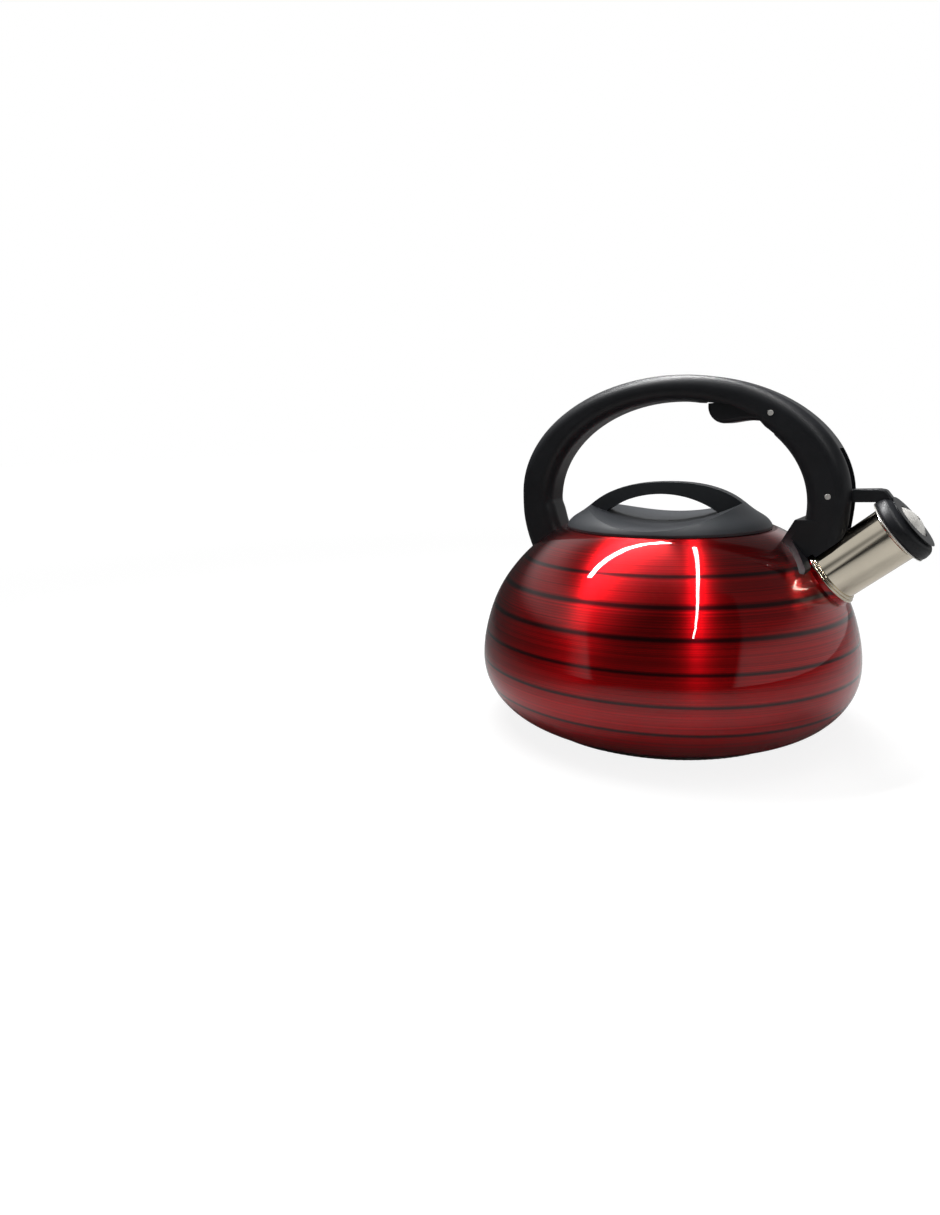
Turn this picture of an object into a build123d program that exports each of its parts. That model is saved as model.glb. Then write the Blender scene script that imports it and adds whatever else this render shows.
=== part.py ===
from build123d import *
import math
import os

# Stovetop whistling kettle, millimetres.
# +X is the pouring side, +Z is up, and the origin is the centre of the base's underside.

# --- Driving dimensions ------------------------------------------------------------------
WALL = 0.8                    # steel of the body
BASE_RADIUS = 79.0            # flat bonded base
BASE_HEIGHT = 3.0
BASE_SKIN = 0.5               # steel cup round the aluminium core

# outer outline of the body from the base edge to the lid seat, as (radius, height)
BODY_OUTLINE = [
    (BASE_RADIUS + 1.0, BASE_HEIGHT), (92.8, 8.0), (103.2, 18.0), (109.2, 31.0), (110.0, 43.0),
    (107.1, 60.0), (101.9, 75.0), (92.9, 90.0), (82.2, 102.0), (71.8, 110.4), (61.5, 115.9),
]
SEAT_HEIGHT = 115.9           # flat land that the lid sits on
MOUTH_RADIUS = 51.8
MOUTH_DROP = 7.0              # rim turned down into the mouth
RIM_BEND = 2.0

SPOUT_TILT = 40.0             # above horizontal
SPOUT_FOOT = (91.6, 93.0)     # (x, z) of the flange's centre
SLEEVE_RADIUS = 14.9
SLEEVE_LENGTH = 39.0
SLEEVE_WALL = 0.7
FLANGE_RADIUS = 17.2
NECK_RADIUS = 16.4
NECK_FLARE = 9.0
NECK_GAP = 0.25               # the handle stays this far off the neck

HANDLE_WIDTH = 24.0
HANDLE_ROUND = 7.0
OUTER_CENTRE = (2.5, 134.55)  # (x, z) of the arch's outer ellipse
OUTER_AXES = (97.9, 67.5)     # its half-axes
INNER_CENTRE = (2.6, 130.35)  # the same for the inner ellipse
INNER_AXES = (76.45, 57.05)
HANDLE_SKIN = 2.8             # moulded wall round the mechanism
SKIRT_TOP = 123.9             # small ledge where the front foot begins to widen
SADDLE_ON_RING = 14.7         # underside of the front foot above the spout's axis, over the rings ...
SADDLE_ON_SLEEVE = 12.3       # ... and over the sleeve
FRONT_SCREW_Z = 117.6
REAR_SCREW_Z = 108.0
FRONT_HEAD_X = 71.6           # outer end of each screw head
REAR_HEAD_X = -91.0
HEAD_HEIGHT = 2.2
BRACKET_STEEL = 1.5

PIN_RADIUS = 1.5
PIN_GAP = 0.05                # radial running clearance
TRIGGER_PIVOT = (59.3, 179.4)
LEVER_PIVOT = (90.2, 136.4)
ROD_TOP = (74.0, 171.5)       # rod's eye on the trigger
LEVER_CRANK = 4.0             # lever pivot to the rod's lower eye
ROD_RADIUS = 1.0
ROD_FOOT = (LEVER_PIVOT[0] - LEVER_CRANK, LEVER_PIVOT[1])
ROD_FOOT_GAP = 0.5            # the lower eye is loose, so that the rod can swing in it
TRIGGER_WIDTH = 16.0
LEVER_WIDTH = 8.0
CRANK_INNER_Y = 1.6           # both cranks lie beside the rod, from here ...
CRANK_OUTER_Y = 4.0           # ... to here
COIL_RADIUS = 2.6             # return spring, to the middle of its wire
COIL_WIRE = 0.45
COIL_PITCH = 1.05
COIL_TURNS = 2.75
COIL_START_Y = -4.3
SPRING_SIDE_Y = -3.6          # the hub is cut back to here for the spring

CAP_RADIUS = 18.3
CAP_DEPTH = 9.8
DISC_RADIUS = 9.5

LID_RADIUS = 58.8
LID_TURN = 12.0               # the lid grip is turned this far from the handle
LID_WALL = 2.2
LID_OUTLINE = [(0.0, 142.2), (25.0, 139.4), (40.0, 132.8), (50.5, 124.9), (LID_RADIUS, 117.6)]
LID_BOTTOM = 116.2
TROUGH_FLOOR = 119.4
TROUGH_RADIUS = 97.7
GRIP_WIDTH = 13.0
GRIP_CENTRE = (-2.9, 79.0)    # centre of the arc under the lid grip
GRIP_RADIUS = 56.3
PAN_RADIUS = 50.0
PAN_FLOOR = 107.9
PAN_STEEL = 0.6
PAN_FLANGE_RADIUS = 55.2
PAN_TOP = 117.1
SCREW_X = 25.0


# --- Small helpers -----------------------------------------------------------------------
def save(node, name):
    node.label = name
    export_step(node, f"parts/{name}.step")


def cylinder_y(radius, x, z, y_low, y_high):
    """Solid round bar along Y."""
    middle = (y_low + y_high) / 2
    return Pos(x, middle, z) * Rot(90, 0, 0) * Cylinder(radius, y_high - y_low)


def cylinder_x(radius, x_low, x_high, z):
    """Solid round bar along X, on the centre plane."""
    return Pos((x_low + x_high) / 2, 0, z) * Rot(0, 90, 0) * Cylinder(radius, x_high - x_low)


def block(x_low, x_high, y_half, z_low, z_high):
    """Box centred on the XZ plane."""
    middle = ((x_low + x_high) / 2, 0, (z_low + z_high) / 2)
    return Pos(*middle) * Box(x_high - x_low, 2 * y_half, z_high - z_low)


def slab(face, y_low, y_high):
    """A face drawn in the XZ plane, made solid between two Y values."""
    return Pos(0, y_high, 0) * extrude(face, amount=y_high - y_low)


def turned(points):
    """Solid turned round Z from straight-sided (radius, height) points."""
    outline = Polyline(*points, close=True)
    return revolve(Plane.XZ * make_face(outline), Axis.Z)


def spout_frame(along):
    """Plane across the spout, this far out from the flange's centre; its Z is the spout's axis."""
    tilt = math.radians(SPOUT_TILT)
    direction = (math.cos(tilt), 0, math.sin(tilt))
    x = SPOUT_FOOT[0] + along * direction[0]
    z = SPOUT_FOOT[1] + along * direction[2]
    return Plane(origin=(x, 0, z), x_dir=(math.sin(tilt), 0, -math.cos(tilt)), z_dir=direction)


def on_spout(points, along=0.0):
    """Solid turned round the spout's axis from (radius, distance) points."""
    return spout_frame(along) * turned(points)


def spout_block(height_low, height_high, half, along_low, along_high):
    """Box lined up with the spout; heights are measured square to its axis, upwards."""
    middle = (-(height_low + height_high) / 2, 0, (along_low + along_high) / 2)
    return spout_frame(0) * (Pos(*middle) * Box(height_high - height_low, 2 * half, along_high - along_low))


# --- Body --------------------------------------------------------------------------------
def inset_outline(inset):
    """Body outline moved inward by inset along its local normal; its ends stay level."""
    moved = []
    last = len(BODY_OUTLINE) - 1
    for i, (radius, height) in enumerate(BODY_OUTLINE):
        before = BODY_OUTLINE[max(i - 1, 0)]
        after = BODY_OUTLINE[min(i + 1, last)]
        run = (after[0] - before[0], after[1] - before[1])
        length = math.hypot(*run)
        if i in (0, last):
            step = (0.0, inset if i == 0 else -inset)
        else:
            step = (-run[1] / length * inset, run[0] / length * inset)
        moved.append((radius + step[0], height + step[1]))
    return moved


def body_bulk(inset):
    """Filled body, smaller than the outer surface by inset."""
    outline = inset_outline(inset)
    side = Spline(*outline)
    top = Polyline(outline[-1], (0, outline[-1][1]), (0, outline[0][1]), outline[0])
    return revolve(Plane.XZ * make_face([side, top]), Axis.Z)


def mouth_rim():
    """Rim of the mouth, turned down from the lid seat."""
    inner = MOUTH_RADIUS - WALL
    low = SEAT_HEIGHT - MOUTH_DROP
    rim = turned([(inner, low), (MOUTH_RADIUS + RIM_BEND, low), (MOUTH_RADIUS + RIM_BEND, SEAT_HEIGHT),
                  (inner, SEAT_HEIGHT)])
    top_edge = rim.edges().filter_by(GeomType.CIRCLE).group_by(Axis.Z)[-1].sort_by(SortBy.RADIUS)[0]
    rim = fillet(top_edge, RIM_BEND)
    hollow = turned([(MOUTH_RADIUS, low - 1), (MOUTH_RADIUS + RIM_BEND + 1, low - 1),
                     (MOUTH_RADIUS + RIM_BEND + 1, SEAT_HEIGHT - WALL), (MOUTH_RADIUS, SEAT_HEIGHT - WALL)])
    top_edge = hollow.edges().filter_by(GeomType.CIRCLE).group_by(Axis.Z)[-1].sort_by(SortBy.RADIUS)[0]
    return rim - fillet(top_edge, RIM_BEND - WALL)


def neck(gap=0.0):
    """Short drawn neck that flares out of the shoulder up to the sleeve's flange."""
    top = NECK_RADIUS + gap
    flare = RadiusArc((top, 0), (top + NECK_FLARE, -NECK_FLARE), -NECK_FLARE)
    sides = Polyline((top + NECK_FLARE, -NECK_FLARE), (top + NECK_FLARE, -20), (0, -20), (0, 0), (top, 0))
    solid = revolve(Plane.XZ * make_face([flare, sides]), Axis.Z)
    return spout_frame(0) * solid


def body_shell():
    cavity = body_bulk(WALL)
    shell = body_bulk(0) - cavity
    shell -= Pos(0, 0, SEAT_HEIGHT) * Cylinder(MOUTH_RADIUS + RIM_BEND, 10)
    shell += mouth_rim()
    shell += neck() - body_bulk(WALL / 2)
    return shell - spout_frame(-12) * Cylinder(SLEEVE_RADIUS, 60)


def base_pan():
    pan = Pos(0, 0, BASE_HEIGHT / 2) * Cylinder(BASE_RADIUS, BASE_HEIGHT)
    pan = fillet(pan.edges().group_by(Axis.Z)[0], 1.2)
    return pan - heat_disc()


def heat_disc():
    core = BASE_HEIGHT - BASE_SKIN
    disc = Pos(0, 0, BASE_SKIN + core / 2) * Cylinder(BASE_RADIUS - BASE_SKIN, core)
    return fillet(disc.edges().group_by(Axis.Z)[0], 0.7)


def spout_sleeve():
    """Polished tube with a rolled flange at the neck and a rolled lip at its mouth."""
    bore = SLEEVE_RADIUS - SLEEVE_WALL
    tube = on_spout([(bore, -7), (SLEEVE_RADIUS, -7), (SLEEVE_RADIUS, SLEEVE_LENGTH), (bore, SLEEVE_LENGTH)])
    beads = [(FLANGE_RADIUS - 0.9, 0.9, 0.9), (FLANGE_RADIUS - 1.7, 2.3, 0.7), (SLEEVE_RADIUS, SLEEVE_LENGTH, 0.8)]
    for ring_radius, along, thickness in beads:
        tube += spout_frame(along) * Torus(ring_radius, thickness)
    tube += on_spout([(bore, 0), (FLANGE_RADIUS - 0.9, 0), (FLANGE_RADIUS - 0.9, 1.4), (bore, 3.4)])
    return tube - spout_frame(15) * Cylinder(bore, 80)


# --- Handle ------------------------------------------------------------------------------
def handle_band():
    """Face of the whole handle between its ellipses; both legs run down into the shoulder."""
    outer = EllipticalCenterArc(OUTER_CENTRE, *OUTER_AXES, start_angle=0, arc_size=180)
    inner = EllipticalCenterArc(INNER_CENTRE, *INNER_AXES, start_angle=0, arc_size=180)
    rear = OUTER_CENTRE[0] - OUTER_AXES[0]
    front = OUTER_CENTRE[0] + OUTER_AXES[0]
    rear_inside = INNER_CENTRE[0] - INNER_AXES[0]
    front_inside = INNER_CENTRE[0] + INNER_AXES[0]
    rear_back = Spline((rear, OUTER_CENTRE[1]), (-94.4, 118.0), (-90.8, 105.0), (-85.0, 92.0), tangents=[(0, -1), (0.5, -1)])
    rear_front = Spline((-66.0, 108.0), (-69.6, 116.5), (-72.6, 126.0), (rear_inside, INNER_CENTRE[1]),
                        tangents=[(-0.4, 1), (0, 1)])
    front_back = Spline((front_inside, INNER_CENTRE[1]), (78.4, 122.0), (76.0, 103.0), tangents=[(0, -1), (-0.1, -1)])
    front_front = Spline((96.0, 97.0), (99.3, 118.0), (front, OUTER_CENTRE[1]), tangents=[(0.3, 1), (0, 1)])
    soles = [Line(rear_back @ 1, rear_front @ 0), Line(front_back @ 1, front_front @ 0)]
    return Plane.XZ * make_face([outer, inner, rear_back, rear_front, front_back, front_front, *soles])


def arch_ring(inset):
    """Face between the two full ellipses less a wall, used for the space inside the moulding."""
    outer = Pos(*OUTER_CENTRE) * Ellipse(OUTER_AXES[0] - inset, OUTER_AXES[1] - inset)
    inner = Pos(*INNER_CENTRE) * Ellipse(INNER_AXES[0] + inset, INNER_AXES[1] + inset)
    return Plane.XZ * (outer - inner)


def skirt():
    """Widened lower part of the front foot, which reaches round the neck behind the sleeve's rings."""
    half = HANDLE_WIDTH / 2 - 0.1
    sections = []
    for x_low, x_high, half_low, half_high, z in ((74.8, 88.0, half, half, SKIRT_TOP), (60.0, 85.0, 6.6, 28.5, 98.0)):
        corners = [(x_low, -half_low), (x_high, -half_high), (x_high, half_high), (x_low, half_low)]
        sections.append(Pos(0, 0, z) * make_face(Polyline(*corners, close=True)))
    whole = loft(sections)
    return whole - spout_block(-60, 80, 40, -0.3, 80) + (whole & block(40, 130, HANDLE_WIDTH / 2, 60, 160))


def sleeve_room():
    """Space kept free for the sleeve and its rings under the front foot."""
    ring = FLANGE_RADIUS + 0.3
    tube = SLEEVE_RADIUS + 0.3
    ring_end = 3.3
    room = on_spout([(0, -5), (ring, -5), (ring, ring_end), (tube, ring_end), (tube, 60), (0, 60)])
    room += spout_block(-60, SADDLE_ON_RING, 40, -0.3, ring_end + 0.1)
    return room + spout_block(-60, SADDLE_ON_SLEEVE, 40, ring_end, 80)


def handle():
    arch = slab(handle_band(), -HANDLE_WIDTH / 2, HANDLE_WIDTH / 2)
    long_edges = arch.edges().filter_by(lambda e: abs(e.center().Y) > HANDLE_WIDTH / 2 - 0.1)
    soft_edges = long_edges.filter_by(lambda e: e.center().Z > 104 and e.length > 9)
    arch = fillet(soft_edges, HANDLE_ROUND)
    arch += skirt()
    for seat in (body_bulk(0), neck(NECK_GAP), sleeve_room()):
        arch -= seat
    # space for the trigger, open underneath, with a scalloped lower edge
    inside = arch_ring(HANDLE_SKIN)
    pocket_half = TRIGGER_WIDTH / 2 + 0.5
    arch -= slab(inside, -pocket_half, pocket_half) & block(19, 69, pocket_half, 160, 200)
    scallop = Polyline((19, 186.8), (38, 184.6), (52, 177.4), (57.5, 170.4), (50, 160), (19, 160), close=True)
    arch -= slab(Plane.XZ * make_face(scallop), -HANDLE_WIDTH, HANDLE_WIDTH)
    mouth = Polyline((19, 190), (64, 182), (60, 165), (50, 160), (19, 160), close=True)
    arch -= slab(Plane.XZ * make_face(mouth), -pocket_half, pocket_half)
    # channel for the rod, and the slot that the lever swings in
    arch -= slab(inside, -5.5, 5.5) & block(60, 100, 5.5, 124, 190)
    arch -= block(88, 110, LEVER_WIDTH / 2 + 0.6, 119, 160.7)
    # pins and fixings
    for x, z in (TRIGGER_PIVOT, LEVER_PIVOT):
        arch -= cylinder_y(PIN_RADIUS, x, z, -20, 20)
    for part in (front_bracket(), rear_bracket(), front_screw(), rear_screw()):
        arch -= part
    arch -= cylinder_x(3.6, 60, FRONT_HEAD_X + HEAD_HEIGHT, FRONT_SCREW_Z)
    arch -= cylinder_x(3.6, -100, REAR_HEAD_X + HEAD_HEIGHT, REAR_SCREW_Z)
    return arch


def bracket_flange(x_low, x_high, half):
    """Welded flange that follows the shoulder under a foot."""
    skin = body_bulk(-BRACKET_STEEL) - body_bulk(0)
    return skin & block(x_low, x_high, half, 80, 125)


def front_bracket():
    tongue = block(75.2, 77.2, 7, 108, 122) - body_bulk(0)
    return bracket_flange(70.0, 77.2, 7) + tongue - cylinder_x(1.5, 60, 90, FRONT_SCREW_Z)


def rear_bracket():
    tongue = block(-82, -80, 8, 96, 118) - body_bulk(0)
    return bracket_flange(-84.5, -71.5, 8) + tongue - cylinder_x(1.5, -95, -60, REAR_SCREW_Z)


def screw(head_x, tip_x, z):
    """Round-headed screw pointing along +X, with a cross recess in its head."""
    head = cylinder_x(3.2, head_x, head_x + HEAD_HEIGHT, z)
    head = fillet(head.edges().group_by(Axis.X)[0], 1.2)
    recess = Pos(head_x, 0, z) * (Box(2.4, 3.6, 0.8) + Box(2.4, 0.8, 3.6))
    return head + cylinder_x(1.5, head_x, tip_x, z) - recess


def front_screw():
    return screw(FRONT_HEAD_X, 81.0, FRONT_SCREW_Z)


def rear_screw():
    return screw(REAR_HEAD_X, -78.5, REAR_SCREW_Z)


# --- Trigger, rod and cap lever ----------------------------------------------------------
def pin(pivot):
    """Pivot pin with slightly domed ends, flush with both sides of the handle."""
    body = cylinder_y(PIN_RADIUS, *pivot, -HANDLE_WIDTH / 2 - 0.3, HANDLE_WIDTH / 2 + 0.3)
    ends = body.edges().filter_by(GeomType.CIRCLE)
    return fillet(ends, 0.3)


def trigger():
    """Finger pad, hub and the crank that pushes the rod."""
    x, z = TRIGGER_PIVOT
    nose = ThreePointArc((24.0, 185.6), (26.8, 177.5), (34.5, 174.6))
    finger_rest = Spline((34.5, 174.6), (44.0, 175.7), (60.0, 174.2), tangents=[nose % 1, (1, -0.2)])
    over = Polyline((60.0, 174.2), (60.8, 182.0), (52.0, 185.0), (40.0, 186.2), (24.0, 185.6))
    pad = slab(Plane.XZ * make_face([nose, finger_rest, over]), -TRIGGER_WIDTH / 2, TRIGGER_WIDTH / 2)
    lower = pad.edges().filter_by(lambda e: abs(e.center().Y) > 7.9 and e.center().Z < 182 and e.center().X < 50)
    pad = fillet(lower, 2.5)
    hub = cylinder_y(4.4, x, z, -TRIGGER_WIDTH / 2, TRIGGER_WIDTH / 2)
    outside = -TRIGGER_WIDTH / 2 - 1
    spring_room = cylinder_y(5.6, x, z, outside, SPRING_SIDE_Y)
    trench = Polyline((x, z + COIL_RADIUS - COIL_WIRE - 0.05), (x - 10.5, z + COIL_RADIUS - COIL_WIRE - 0.05),
                      (x - 12, z + 10), (x, z + 10), close=True)
    spring_room += slab(Plane.XZ * make_face(trench), outside, SPRING_SIDE_Y)
    crank = crank_plate(TRIGGER_PIVOT, ROD_TOP, 4.2, 3.0)
    solid = pad - spring_room + (hub - spring_room) + crank
    solid -= cylinder_y(PIN_RADIUS + PIN_GAP, x, z, -20, 20)
    return solid - cylinder_y(ROD_RADIUS + PIN_GAP, *ROD_TOP, -20, 20)


def crank_plate(start, end, start_radius, end_radius):
    """Tapered plate between two round eyes, beside the rod."""
    way = math.atan2(end[1] - start[1], end[0] - start[0])
    side = (-math.sin(way), math.cos(way))
    corners = []
    for centre, radius, sign in ((start, start_radius, 1), (end, end_radius, 1), (end, end_radius, -1),
                                 (start, start_radius, -1)):
        corners.append((centre[0] + sign * radius * side[0], centre[1] + sign * radius * side[1]))
    plate = slab(Plane.XZ * make_face(Polyline(*corners, close=True)), CRANK_INNER_Y, CRANK_OUTER_Y)
    for centre, radius in ((start, start_radius), (end, end_radius)):
        plate += cylinder_y(radius, *centre, CRANK_INNER_Y, CRANK_OUTER_Y)
    return plate


def link_rod():
    """Wire with both ends bent sideways into the cranks."""
    side = CRANK_OUTER_Y + 1.0
    corners = [(ROD_TOP[0], side, ROD_TOP[1]), (ROD_TOP[0], 0, ROD_TOP[1]), (ROD_FOOT[0], 0, ROD_FOOT[1]),
               (ROD_FOOT[0], side, ROD_FOOT[1])]
    path = FilletPolyline(*corners, radius=1.4)
    return sweep(Plane(path @ 0, z_dir=path % 0) * Circle(ROD_RADIUS), path=path)


def return_spring():
    """Torsion spring round the trigger's pin; one leg bears on the handle and one on the trigger."""
    points = [(-COIL_RADIUS, y, 0) for y in (6.2, 4.8, 3.6, 2.4, 1.2)]
    for step in range(round(12 * COIL_TURNS) + 1):
        angle = math.radians(180 + 30 * step)
        points.append((COIL_RADIUS * math.cos(angle), COIL_RADIUS * math.sin(angle), COIL_PITCH * step / 12))
    height = COIL_PITCH * COIL_TURNS
    points += [(x, COIL_RADIUS, height) for x in (-1.2, -2.4, -3.6, -5.5, -7.5, -9.5)]
    path = Spline(*points)
    wire = sweep(Plane(path @ 0, z_dir=path % 0) * Circle(COIL_WIRE), path=path)
    x, z = TRIGGER_PIVOT
    return Pos(x, COIL_START_Y, z) * Rot(90, 0, 0) * wire


def cap_lever():
    """Lever moulded in one with the cap that closes the spout."""
    x, z = LEVER_PIVOT
    arm = Polyline((x + 2.2, z - 3.4), (111.4, 133.6), (113.4, 130.5), (118.0, 126.0), (121.0, 132.0),
                   (118.4, 136.2), (115.6, 139.8), (112.5, 140.3), (x + 2.2, z + 3.2), close=True)
    bar = slab(Plane.XZ * make_face(arm), -LEVER_WIDTH / 2, LEVER_WIDTH / 2)
    bend = bar.edges().filter_by(Axis.Y).filter_by(lambda e: 114 < e.center().X < 117 and e.center().Z > 138)
    bar = fillet(bend, 3.0)
    bar = fillet(bar.edges().filter_by(lambda e: abs(e.center().Y) > 3.9 and e.center().Z > 134.6), 1.2)
    plate = crank_plate(LEVER_PIVOT, ROD_FOOT, 5.2, 3.4)
    shoulder = Polyline((x, z - 5.2), (x + 8, z - 3.0), (x + 8, z + 3.2), (x, z + 5.2), close=True)
    plate += slab(Plane.XZ * make_face(shoulder), CRANK_INNER_Y, CRANK_OUTER_Y)
    rim = [(12.6, 1.3), (17.3, 1.3), (CAP_RADIUS, 2.6), (CAP_RADIUS - 0.2, 4.8), (16.8, 7.4), (14.4, 9.2),
           (10.8, CAP_DEPTH)]
    shell_side = Spline(*rim[1:], tangents=[(0.6, 0.2), (-1, 0)])
    shell_back = Polyline(rim[-1], (0, CAP_DEPTH), (0, 1.3), rim[1])
    cap = spout_frame(SLEEVE_LENGTH) * revolve(Plane.XZ * make_face([shell_side, shell_back]), Axis.Z)
    solid = cap + bar
    solid -= on_spout([(0, -4), (12.6, -4), (12.6, 9.0), (0, 9.0)], SLEEVE_LENGTH)
    solid -= on_spout([(0, -4), (DISC_RADIUS + 0.1, -4), (DISC_RADIUS + 0.1, 16), (0, 16)], SLEEVE_LENGTH)
    solid += plate
    solid -= cylinder_y(PIN_RADIUS + PIN_GAP, x, z, -20, 20)
    return solid - cylinder_y(ROD_RADIUS + ROD_FOOT_GAP, *ROD_FOOT, -20, 20)


def whistle_cup():
    """Steel cup behind the cap: a flange on the sleeve's lip and a short tube inside it."""
    flange = [(11.6, 0.9), (18.3, 0.9), (18.3, 1.3), (12.5, 1.3), (12.5, 3.4), (11.6, 3.4)]
    tube = [(11.6, -2.4), (12.3, -2.4), (12.3, 1.0), (11.6, 1.0)]
    return on_spout(flange, SLEEVE_LENGTH) + on_spout(tube, SLEEVE_LENGTH)


def whistle_inner_disc():
    return on_spout([(1.5, 3.4), (12.4, 3.4), (12.4, 4.1), (1.5, 4.1)], SLEEVE_LENGTH)


def whistle_outer_disc():
    """Domed disc with the hole that the steam leaves by."""
    rim = DISC_RADIUS
    arc = ThreePointArc((rim, 9.2), (rim * 0.62, 11.3), (1.6, 12.3))
    back = ThreePointArc((1.6, 11.6), (rim * 0.6, 10.6), (rim - 0.7, 8.9))
    edge = Polyline((rim - 0.7, 8.9), (rim - 0.7, 8.3), (12.4, 8.3), (12.4, 8.9), (rim, 8.9), (rim, 9.2))
    face = make_face([arc, Line((1.6, 12.3), (1.6, 11.6)), back, edge])
    return spout_frame(SLEEVE_LENGTH) * revolve(Plane.XZ * face, Axis.Z)


# --- Lid ---------------------------------------------------------------------------------
def dome(inset):
    """Filled lid dome, smaller than the outer surface by inset."""
    scale = (LID_RADIUS - inset) / LID_RADIUS
    points = [(radius * scale, height - inset) for radius, height in LID_OUTLINE]
    side = Spline(*points, tangents=[(1, 0), (0.5, -1)])
    rim_radius, rim_height = points[-1]
    back = Polyline(points[-1], (rim_radius, LID_BOTTOM - inset), (0, LID_BOTTOM - inset), points[0])
    return revolve(Plane.XZ * make_face([side, back]), Axis.Z)


def lid_cover():
    """Dome with a trough scooped across it, bridged by an arched finger grip."""
    trough = cylinder_y(TROUGH_RADIUS, GRIP_CENTRE[0], TROUGH_FLOOR + TROUGH_RADIUS, -80, 80)
    trough_skin = cylinder_y(TROUGH_RADIUS + LID_WALL, GRIP_CENTRE[0], TROUGH_FLOOR + TROUGH_RADIUS, -80, 80)
    cover = dome(0) - trough
    cover -= dome(LID_WALL) - trough_skin
    grip = dome(0) & block(-50, 50, GRIP_WIDTH / 2, 119, 150)
    grip -= cylinder_y(GRIP_RADIUS, *GRIP_CENTRE, -20, 20)
    grip = grip & trough
    cover += grip
    boss_length = 16.0
    boss_top = cylinder_y(TROUGH_RADIUS + LID_WALL / 2, GRIP_CENTRE[0], TROUGH_FLOOR + TROUGH_RADIUS, -80, 80)
    for x in (-SCREW_X, SCREW_X):
        cover += Pos(x, 0, PAN_FLOOR + PAN_STEEL + boss_length / 2) * Cylinder(4, boss_length) - boss_top
        cover -= lid_screw(x)
    return cover - Pos(5, -3, TROUGH_FLOOR - 1) * Box(8, 1.6, 8)


def lid_pan():
    """Steel dish under the lid, with a flange that traps the gasket and a steam hole."""
    under_flange = PAN_TOP - PAN_STEEL
    inner = PAN_RADIUS - PAN_STEEL
    pan = turned([(0, PAN_FLOOR), (PAN_RADIUS - 2, PAN_FLOOR), (PAN_RADIUS, PAN_FLOOR + 2), (PAN_RADIUS, under_flange),
                  (PAN_FLANGE_RADIUS, under_flange), (PAN_FLANGE_RADIUS, PAN_TOP), (inner, PAN_TOP),
                  (inner, PAN_FLOOR + 2.2), (inner - 1.6, PAN_FLOOR + PAN_STEEL), (0, PAN_FLOOR + PAN_STEEL)])
    for x in (-SCREW_X, SCREW_X):
        pan -= lid_screw(x)
    return pan - Pos(0, 18, PAN_FLOOR) * Cylinder(2, 5)


def lid_gasket():
    """Flat silicone ring that meets the lid seat."""
    low = SEAT_HEIGHT + 0.1
    high = PAN_TOP - PAN_STEEL
    return turned([(PAN_RADIUS + 2.5, low), (PAN_FLANGE_RADIUS, low), (PAN_FLANGE_RADIUS, high),
                   (PAN_RADIUS + 2.5, high)])


def lid_screw(x):
    """Pan-head screw up through the dish into one of the cover's bosses."""
    head = Pos(x, 0, PAN_FLOOR - 1.0) * Cylinder(3, 2)
    head = fillet(head.edges().group_by(Axis.Z)[0], 0.8)
    shank = Pos(x, 0, PAN_FLOOR + 3.5) * Cylinder(1.5, 9)
    recess = Pos(x, 0, PAN_FLOOR - 2) * (Box(3.2, 0.8, 2) + Box(0.8, 3.2, 2))
    return head + shank - recess


# --- Files -------------------------------------------------------------------------------
os.makedirs("parts", exist_ok=True)

FIXED_NODES = {
    "body_shell": body_shell, "base_pan": base_pan, "heat_disc": heat_disc, "spout_sleeve": spout_sleeve,
    "handle": handle, "front_bracket": front_bracket, "rear_bracket": rear_bracket, "front_screw": front_screw,
    "rear_screw": rear_screw, "return_spring": return_spring, "trigger": trigger, "link_rod": link_rod,
    "cap_lever": cap_lever, "whistle_cup": whistle_cup, "whistle_inner_disc": whistle_inner_disc,
    "whistle_outer_disc": whistle_outer_disc,
}
for name, make in FIXED_NODES.items():
    save(make(), name)

save(pin(TRIGGER_PIVOT), "trigger_pin")
save(pin(LEVER_PIVOT), "lever_pin")

LID_NODES = {
    "lid_cover": lid_cover(), "lid_pan": lid_pan(), "lid_gasket": lid_gasket(),
    "lid_screw_rear": lid_screw(-SCREW_X), "lid_screw_front": lid_screw(SCREW_X),
}
for name, node in LID_NODES.items():
    save(Rot(0, 0, LID_TURN) * node, name)
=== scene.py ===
import math

import bpy
from mathutils import Matrix, Vector

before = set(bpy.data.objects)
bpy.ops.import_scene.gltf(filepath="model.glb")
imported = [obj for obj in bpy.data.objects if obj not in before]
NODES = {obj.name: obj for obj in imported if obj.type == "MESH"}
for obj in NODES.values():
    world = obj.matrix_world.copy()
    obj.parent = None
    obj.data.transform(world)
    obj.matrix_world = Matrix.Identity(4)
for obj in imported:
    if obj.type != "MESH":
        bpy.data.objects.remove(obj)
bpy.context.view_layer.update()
MM = 0.001


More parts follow.
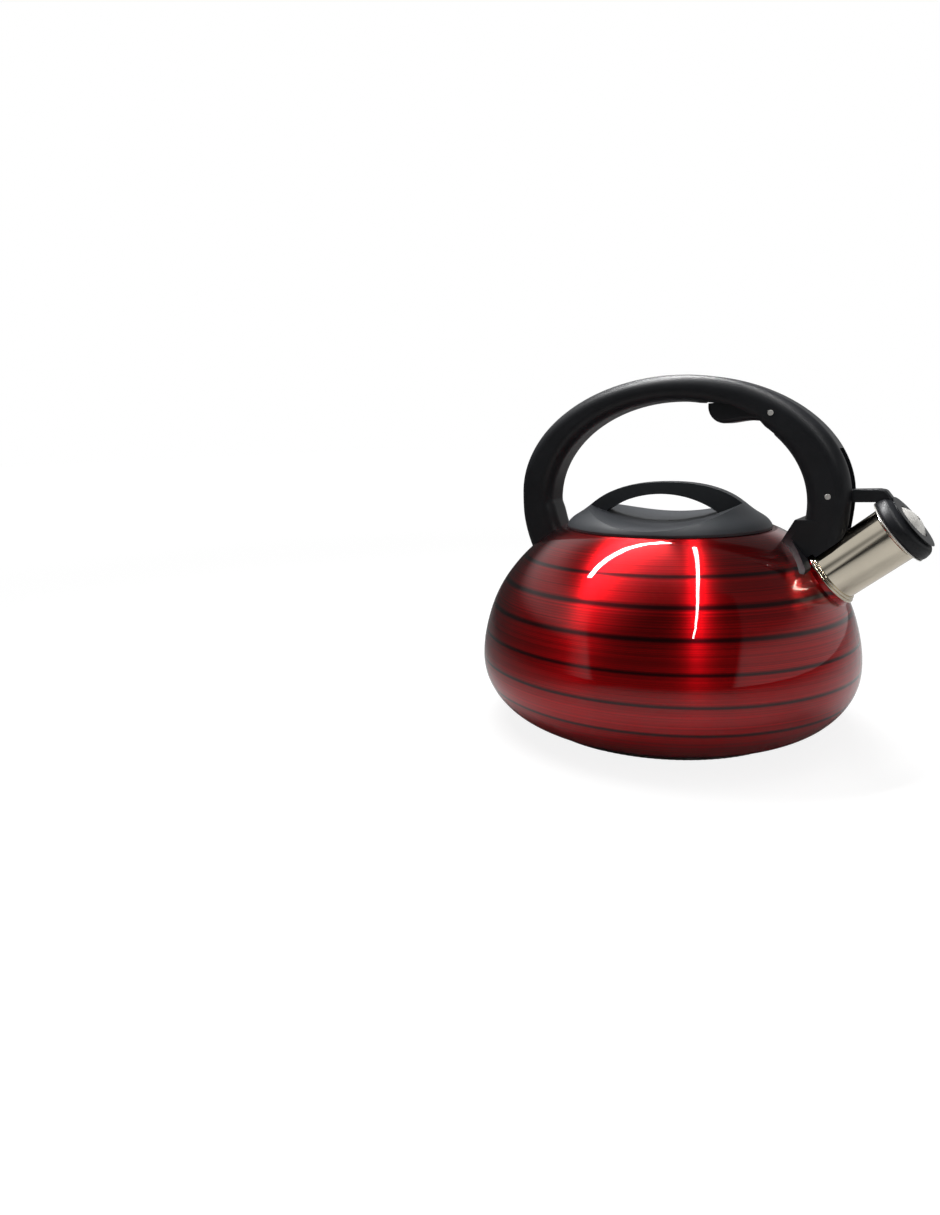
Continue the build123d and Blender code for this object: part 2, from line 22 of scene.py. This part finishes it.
# --- node helpers ---------------------------------------------------------------------------
class Graph:
    """Short-hand for making nodes in one tree. A value is another node's output or a number."""

    def __init__(self, tree):
        tree.nodes.clear()
        self.new = tree.nodes.new
        self.link = tree.links.new

    def feed(self, socket, value):
        if isinstance(value, bpy.types.NodeSocket):
            self.link(value, socket)
        else:
            socket.default_value = value

    def math(self, kind, *values):
        node = self.new("ShaderNodeMath")
        node.operation = kind
        for socket, value in zip(node.inputs, values):
            self.feed(socket, value)
        return node.outputs[0]

    def vector(self, kind, *values, result="Vector"):
        node = self.new("ShaderNodeVectorMath")
        node.operation = kind
        for socket, value in zip(node.inputs, values):
            self.feed(socket, value)
        return node.outputs[result]

    def remap(self, value, edges, to_low=0.0, to_high=1.0, smooth=False):
        """Carry the range between the two edges over to the range from to_low to to_high."""
        node = self.new("ShaderNodeMapRange")
        node.interpolation_type = "SMOOTHSTEP" if smooth else "LINEAR"
        self.link(value, node.inputs["Value"])
        names = ("From Min", "From Max", "To Min", "To Max")
        for name, number in zip(names, (*edges, to_low, to_high)):
            node.inputs[name].default_value = number
        return node.outputs["Result"]

    def smooth(self, value, edges, to_low=0.0, to_high=1.0):
        return self.remap(value, edges, to_low, to_high, smooth=True)

    def average(self, a, b, share):
        """The sum of two values, of which a has this share and b has the rest."""
        return self.math("ADD", self.math("MULTIPLY", a, share), self.math("MULTIPLY", b, 1.0 - share))

    def between(self, factor, a, b):
        """a where the factor is 0 and b where it is 1."""
        node = self.new("ShaderNodeMix")
        for name, value in (("Factor", factor), ("A", a), ("B", b)):
            self.feed(node.inputs[name], value)
        return node.outputs["Result"]


class Shader(Graph):
    """One material round a Principled shader."""

    def __init__(self, name):
        self.material = bpy.data.materials.new(name)
        self.material.use_nodes = True
        super().__init__(self.material.node_tree)
        out = self.new("ShaderNodeOutputMaterial")
        self.bsdf = self.new("ShaderNodeBsdfPrincipled")
        self.link(self.bsdf.outputs[0], out.inputs[0])
        coordinates = self.new("ShaderNodeTexCoord")
        self.place = coordinates.outputs["Object"]
        self.normal = coordinates.outputs["Normal"]

    def set(self, **values):
        for name, value in values.items():
            self.bsdf.inputs[name.replace("_", " ")].default_value = value

    def into(self, name, output):
        self.link(output, self.bsdf.inputs[name])

    def scaled(self, x, y, z):
        return self.vector("MULTIPLY", self.place, (x, y, z))

    def axis(self, index, vector=None):
        node = self.new("ShaderNodeSeparateXYZ")
        self.link(vector or self.place, node.inputs[0])
        return node.outputs[index]

    def noise(self, vector, scale=1.0, detail=2.0, rough=0.5):
        node = self.new("ShaderNodeTexNoise")
        self.link(vector, node.inputs["Vector"])
        node.inputs["Scale"].default_value = scale
        node.inputs["Detail"].default_value = detail
        node.inputs["Roughness"].default_value = rough
        return node.outputs["Fac"]

    def mix(self, factor, a, b):
        """Colour a where the factor is 0 and colour b where it is 1."""
        node = self.new("ShaderNodeMix")
        node.data_type = "RGBA"
        self.link(factor, node.inputs["Factor"])
        for name, colour in (("A", a), ("B", b)):
            self.feed(node.inputs[name], (*colour, 1.0) if isinstance(colour, tuple) else colour)
        return node.outputs["Result"]

    def bump(self, height, distance, strength):
        node = self.new("ShaderNodeBump")
        node.inputs["Distance"].default_value = distance
        node.inputs["Strength"].default_value = strength
        self.link(height, node.inputs["Height"])
        self.into("Normal", node.outputs[0])

    def radial_tangent(self):
        """Lay the brushing round and round the upright axis."""
        node = self.new("ShaderNodeTangent")
        node.direction_type = "RADIAL"
        node.axis = "Z"
        self.into("Tangent", node.outputs[0])


# --- finishes -------------------------------------------------------------------------------
STRIPES = (  # height of the middle and half-width, mm
    (100.55, 0.8), (87.05, 1.1), (72.45, 1.1), (56.45, 0.8), (40.65, 0.8), (25.05, 0.8),
)
STRIPE_SOFTNESS = (0.3, 1.8)      # where the edge fades, in half-widths
STRIPE_WOBBLE = 0.0005
RED_IN_LINES = (0.28, 0.0012, 0.0030)
RED = (0.62, 0.0022, 0.0055)
STRIPE_RED = (0.050, 0.0012, 0.0030)
STEEL_IN_LINES = (0.44, 0.43, 0.42)
STEEL = (0.58, 0.57, 0.55)
NECK_CENTRE = (0.0916, 0.0, 0.093)
NECK_EDGES = (0.030, 0.034)       # distance from the neck's centre at which the neck ends
BOTTOM_EDGES = (0.045, 0.055)     # height under which an upward face is the body's floor


def bare_inside(s):
    """1 on the inside of the body, whose steel is bare, and 0 on its lacquered outside."""
    outward = s.vector("DOT_PRODUCT", s.normal, s.vector("NORMALIZE", s.scaled(1, 1, 0)), result="Value")
    from_neck = s.vector("DISTANCE", s.place, NECK_CENTRE, result="Value")
    inward = s.remap(outward, (-0.10, -0.03), 1.0, 0.0)
    wall = s.math("MULTIPLY", inward, s.remap(from_neck, NECK_EDGES))
    upward = s.remap(s.axis(2, s.normal), (0.4, 0.5))
    bottom = s.math("MULTIPLY", upward, s.remap(s.axis(2), BOTTOM_EDGES, 1.0, 0.0))
    return s.math("MAXIMUM", wall, bottom)


def lacquer(name):
    """Candy-red lacquer over steel brushed round and round, with soft dark stripes."""
    s = Shader(name)
    s.set(Metallic=1.0, Anisotropic=0.92, Anisotropic_Rotation=0.25)
    s.set(Coat_Weight=1.0, Coat_Roughness=0.012, Coat_IOR=1.5)
    s.radial_tangent()
    fine = s.noise(s.scaled(3.0, 3.0, 2600.0), rough=0.6)
    broad = s.noise(s.scaled(2.5, 2.5, 900.0))
    streak = s.average(fine, broad, 0.6)
    tone = s.remap(streak, (0.35, 0.65))
    wobble = s.math("MULTIPLY", s.noise(s.scaled(14.0, 14.0, 90.0)), STRIPE_WOBBLE)
    height = s.math("ADD", s.axis(2), wobble)
    stripes = 0.0
    for middle, half_width in STRIPES:
        away = s.math("ABSOLUTE", s.math("SUBTRACT", height, middle * MM))
        edges = [half_width * MM * part for part in STRIPE_SOFTNESS]
        stripes = s.math("MAXIMUM", stripes, s.smooth(away, edges, 1.0, 0.0))
    outside = s.mix(stripes, s.mix(tone, RED_IN_LINES, RED), STRIPE_RED)
    inside = s.mix(tone, STEEL_IN_LINES, STEEL)
    s.into("Base Color", s.mix(bare_inside(s), outside, inside))
    s.into("Roughness", s.remap(streak, (0.3, 0.7), 0.31, 0.40))
    s.bump(streak, 0.00002, 0.5)
    return s.material


def moulded(name, dark, light, rough, grain):
    """Moulded plastic: fine grain, slight unevenness of colour and gloss."""
    s = Shader(name)
    s.set(IOR=1.43)
    cloud = s.noise(s.place, 38.0, 4.0, 0.6)
    grit = s.noise(s.place, 2400.0, 2.0, 0.6)
    s.into("Base Color", s.mix(s.remap(cloud, (0.3, 0.7)), dark, light))
    s.into("Roughness", s.remap(s.average(cloud, grit, 0.5), (0.3, 0.7), rough - 0.05, rough + 0.05))
    s.bump(grit, grain, 0.6)
    return s.material


def steel(name, colour, rough, lines, anisotropic=0.0, spread=0.06, metallic=1.0):
    """Bare steel with fine finishing lines, as many to the metre as lines says along each axis."""
    s = Shader(name)
    s.set(Metallic=metallic, Anisotropic=anisotropic)
    if anisotropic:
        s.radial_tangent()
    line = s.noise(s.scaled(*lines), 1.0, 3.0, 0.6)
    cloud = s.noise(s.place, 45.0, 3.0, 0.5)
    darker = tuple(channel * 0.86 for channel in colour)
    s.into("Base Color", s.mix(s.remap(line, (0.3, 0.7)), darker, colour))
    s.into("Roughness", s.remap(s.average(line, cloud, 0.6), (0.3, 0.7), rough - spread, rough + spread))
    s.bump(line, 0.000006, 0.4)
    return s.material


def silicone(name):
    """Milky, slightly translucent rubber."""
    s = Shader(name)
    s.set(Subsurface_Weight=0.15, Subsurface_Scale=0.002)
    cloud = s.noise(s.place, 60.0, 3.0, 0.5)
    s.into("Base Color", s.mix(cloud, (0.58, 0.58, 0.55), (0.70, 0.70, 0.67)))
    s.into("Roughness", s.remap(cloud, (0.3, 0.7), 0.45, 0.6))
    s.bump(cloud, 0.00001, 0.5)
    return s.material


LACQUER = lacquer("red_lacquer")
BLACK = moulded("black_plastic", (0.0080, 0.0086, 0.0105), (0.0135, 0.0145, 0.0175), 0.42, 0.00002)
CHARCOAL = moulded("charcoal_plastic", (0.028, 0.031, 0.035), (0.040, 0.043, 0.048), 0.50, 0.00003)
POLISHED = steel("polished_steel", (0.88, 0.80, 0.65), 0.11, (30.0, 30.0, 30.0), spread=0.03)
BRUSHED = steel("brushed_steel", (0.60, 0.59, 0.57), 0.30, (4.0, 4.0, 1800.0), anisotropic=0.5)
BRIGHT = steel("bright_steel", (0.96, 0.94, 0.89), 0.24, (120.0, 120.0, 120.0), metallic=0.4)
WIRE = steel("spring_steel", (0.42, 0.42, 0.41), 0.28, (900.0, 900.0, 900.0))
CAST = steel("aluminium_core", (0.72, 0.72, 0.73), 0.40, (300.0, 300.0, 300.0))
SILICONE = silicone("silicone")

FINISHES = {
    "body_shell": LACQUER, "base_pan": BRUSHED, "heat_disc": CAST,
    "spout_sleeve": POLISHED, "handle": BLACK,
    "front_bracket": BRUSHED, "rear_bracket": BRUSHED,
    "front_screw": BRIGHT, "rear_screw": BRIGHT,
    "trigger": BLACK, "trigger_pin": BRIGHT, "return_spring": WIRE, "link_rod": WIRE,
    "cap_lever": BLACK, "lever_pin": BRIGHT,
    "whistle_cup": BRIGHT, "whistle_inner_disc": BRUSHED, "whistle_outer_disc": BRIGHT,
    "lid_cover": CHARCOAL, "lid_pan": BRUSHED, "lid_gasket": SILICONE,
    "lid_screw_rear": BRIGHT, "lid_screw_front": BRIGHT,
}
for name, material in FINISHES.items():
    node = NODES[name]
    node.data.materials.clear()
    node.data.materials.append(material)


# --- floor, light, camera -------------------------------------------------------------------
WHITE = (1.0, 1.0, 1.0, 1.0)
BACKGROUND = 1.0

FLOOR_HALF = 6.0
FLOOR_FADE = (0.25, 1.3)          # distance over which the floor goes over into the background
FLOOR_TONE = 0.13                 # its colour near the object, which takes the shadow
FLOOR_GLOW = 0.87                 # its own light near the object
# Painted shade: in reflections the floor is darker at its left, fading out between these two x
# positions, in metres.
FLOOR_LEFT_TO_RIGHT = (-0.30, -0.02)
FLOOR_PAINTED_SHADE_AT_LEFT = 0.08              # its tone in reflections
FLOOR_IN_REFLECTIONS = 0.34

# The tent's walls as they light the object. Directions are degrees round from -Y towards +X.
# A height is the upward part of a direction: 0 is level and 1 is straight up. Each pair of
# numbers says where a soft edge begins and ends.
WALL_LIGHT = 0.52
WALL_TOP = (0.22, 0.50)
CEILING_LIGHT = 0.10
LEFT_TURN = -100.0
LEFT_WALL_EDGES = (0.15, 0.55)
LEFT_WALL_LIGHT = 0.54            # the left wall is bright higher up
LEFT_WALL_TOP = (0.58, 0.78)
GLOOM_LIGHT = 0.03                # and dim low down
GLOOM_EDGES = (0.20, 0.50)
GLOOM_TOP = (0.26, 0.47)
OPENING_LIGHT = 0.03              # dark opening on the near side, which widens upwards
OPENING_TURN = 21.0
OPENING_SIDES = (0.78, 0.92)
OPENING_WIDENING = 0.43
OPENING_TOP = (3.0, 4.0)
OPENING_NEAR = (0.02, 0.08)

BAR_HEIGHT = 0.66
BAR_AIM = Vector((0, 0, 0.06))
BARS = (  # name, width, light for each square metre, corners seen from above
    ("bar_left", 0.032, 330.0,
     ((-0.374, -0.212), (-0.249, -0.002), (-0.163, 0.199), (-0.048, 0.300))),
    ("bar_right", 0.018, 105.0,
     ((0.027, 0.220), (0.270, -0.193), (0.682, -0.827))),
)

CAMERA_PLACE = (0.1809, -0.4597, 0.1738)
CAMERA_AHEAD = (-0.5736, 0.7894, -0.2187)
CAMERA_ROLL = -1.44
CAMERA_LENS = 23.852


def into_scene(name, data):
    thing = bpy.data.objects.new(name, data)
    bpy.context.scene.collection.objects.link(thing)
    return thing


def floor():
    """Wide pale floor, which is dimmer in reflections than to the camera."""
    mesh = bpy.data.meshes.new("floor")
    corners = [(x * FLOOR_HALF, y * FLOOR_HALF, 0) for x, y in ((-1, -1), (1, -1), (1, 1), (-1, 1))]
    mesh.from_pydata(corners, [], [(0, 1, 2, 3)])
    plane = into_scene("floor", mesh)
    s = Shader("pale_floor")
    s.set(Roughness=0.7, Specular_IOR_Level=0.2, Emission_Color=WHITE)
    far = s.smooth(s.vector("LENGTH", s.place, result="Value"), FLOOR_FADE)
    seen = s.new("ShaderNodeLightPath").outputs["Is Camera Ray"]
    # Painted shade: seen in reflections, the floor's colour is darker towards its left.
    shade_fade = s.smooth(s.axis(0), FLOOR_LEFT_TO_RIGHT)
    mirrored = s.mix(shade_fade, (FLOOR_PAINTED_SHADE_AT_LEFT,) * 3, (FLOOR_IN_REFLECTIONS,) * 3)
    s.into("Base Color", s.mix(seen, mirrored, s.mix(far, (FLOOR_TONE,) * 3, (0.0,) * 3)))
    glow = s.remap(far, (0.0, 1.0), FLOOR_GLOW, BACKGROUND)
    s.into("Emission Strength", s.math("MULTIPLY", seen, glow))
    mesh.materials.append(s.material)


def panel_light(name, length, width, power, place, along, towards):
    """Rectangular light at place, its length lying along one direction and facing the other."""
    data = bpy.data.lights.new(name, "AREA")
    data.shape = "RECTANGLE"
    data.size = length
    data.size_y = width
    data.energy = power
    lamp = into_scene(name, data)
    back = -(towards - along * towards.dot(along)).normalized()
    turn = Matrix((along, back.cross(along), back)).transposed().to_4x4()
    lamp.matrix_world = Matrix.Translation(place) @ turn
    return lamp


def bar_lights():
    """Two long thin lights overhead, each a row of straight pieces."""
    for name, width, radiance, corners in BARS:
        for count, (start, end) in enumerate(zip(corners, corners[1:])):
            start, end = Vector((*start, BAR_HEIGHT)), Vector((*end, BAR_HEIGHT))
            span, middle = end - start, (start + end) / 2
            power = radiance * span.length * width
            along = span.normalized()
            panel_light(f"{name}_{count}", span.length, width, power, middle, along, BAR_AIM - middle)


def sky_light():
    """Soft light from above, which has no mirror image in the lacquer."""
    place = Vector((-0.1, 0.1, 1.3))
    towards = (Vector((0, 0, 0.1)) - place).normalized()
    along = towards.cross(Vector((0, 0, 1))).normalized()
    panel_light("sky", 0.8, 0.8, 7.0, place, along, towards).visible_glossy = False


def surroundings():
    """White tent seen by the camera. The object is lit by its walls, ceiling and dark opening."""
    world = bpy.data.worlds.new("studio")
    bpy.context.scene.world = world
    world.use_nodes = True
    g = Graph(world.node_tree)
    outwards = g.new("ShaderNodeTexCoord").outputs["Generated"]

    def part_along(x, y, z):
        return g.vector("DOT_PRODUCT", outwards, (x, y, z), result="Value")

    turn = math.radians(OPENING_TURN)
    ahead = part_along(math.sin(turn), -math.cos(turn), 0)
    across = part_along(math.cos(turn), math.sin(turn), 0)
    up = part_along(0, 0, 1)
    facing = g.math("MAXIMUM", ahead, OPENING_NEAR[0])
    side = g.math("ABSOLUTE", g.math("DIVIDE", across, facing))
    rise = g.math("DIVIDE", up, facing)
    wider = g.math("MULTIPLY", g.math("MAXIMUM", rise, 0.0), OPENING_WIDENING)
    opening = g.smooth(g.math("SUBTRACT", side, wider), OPENING_SIDES, 1.0, 0.0)
    opening = g.math("MULTIPLY", opening, g.smooth(rise, OPENING_TOP, 1.0, 0.0))
    opening = g.math("MULTIPLY", opening, g.smooth(ahead, OPENING_NEAR))

    turn = math.radians(LEFT_TURN)
    leftward = part_along(math.sin(turn), -math.cos(turn), 0)
    left_wall = g.smooth(up, LEFT_WALL_TOP, LEFT_WALL_LIGHT, CEILING_LIGHT)
    other_walls = g.smooth(up, WALL_TOP, WALL_LIGHT, CEILING_LIGHT)
    walls = g.between(g.smooth(leftward, LEFT_WALL_EDGES), other_walls, left_wall)
    low = g.smooth(up, GLOOM_TOP, 1.0, 0.0)
    gloom = g.math("MULTIPLY", g.smooth(leftward, GLOOM_EDGES), low)
    walls = g.between(gloom, walls, GLOOM_LIGHT)

    seen = g.new("ShaderNodeLightPath").outputs["Is Camera Ray"]
    background = g.new("ShaderNodeBackground")
    background.inputs["Color"].default_value = WHITE
    level = g.between(seen, g.between(opening, walls, OPENING_LIGHT), BACKGROUND)
    g.link(level, background.inputs["Strength"])
    g.link(background.outputs[0], g.new("ShaderNodeOutputWorld").inputs[0])


def camera():
    data = bpy.data.cameras.new("camera")
    data.sensor_width = 36.0
    data.lens = CAMERA_LENS
    data.shift_x = 0.0074
    data.shift_y = 0.0037
    data.clip_start = 0.01
    eye = into_scene("camera", data)
    ahead = Vector(CAMERA_AHEAD).normalized()
    right = ahead.cross(Vector((0, 0, 1))).normalized()
    turn = Matrix((right, right.cross(ahead), -ahead)).transposed().to_4x4()
    roll = Matrix.Rotation(math.radians(CAMERA_ROLL), 4, "Z")
    eye.matrix_world = Matrix.Translation(CAMERA_PLACE) @ turn @ roll
    bpy.context.scene.camera = eye


floor()
surroundings()
camera()
bar_lights()
sky_light()
bpy.context.scene.view_settings.view_transform = "Standard"
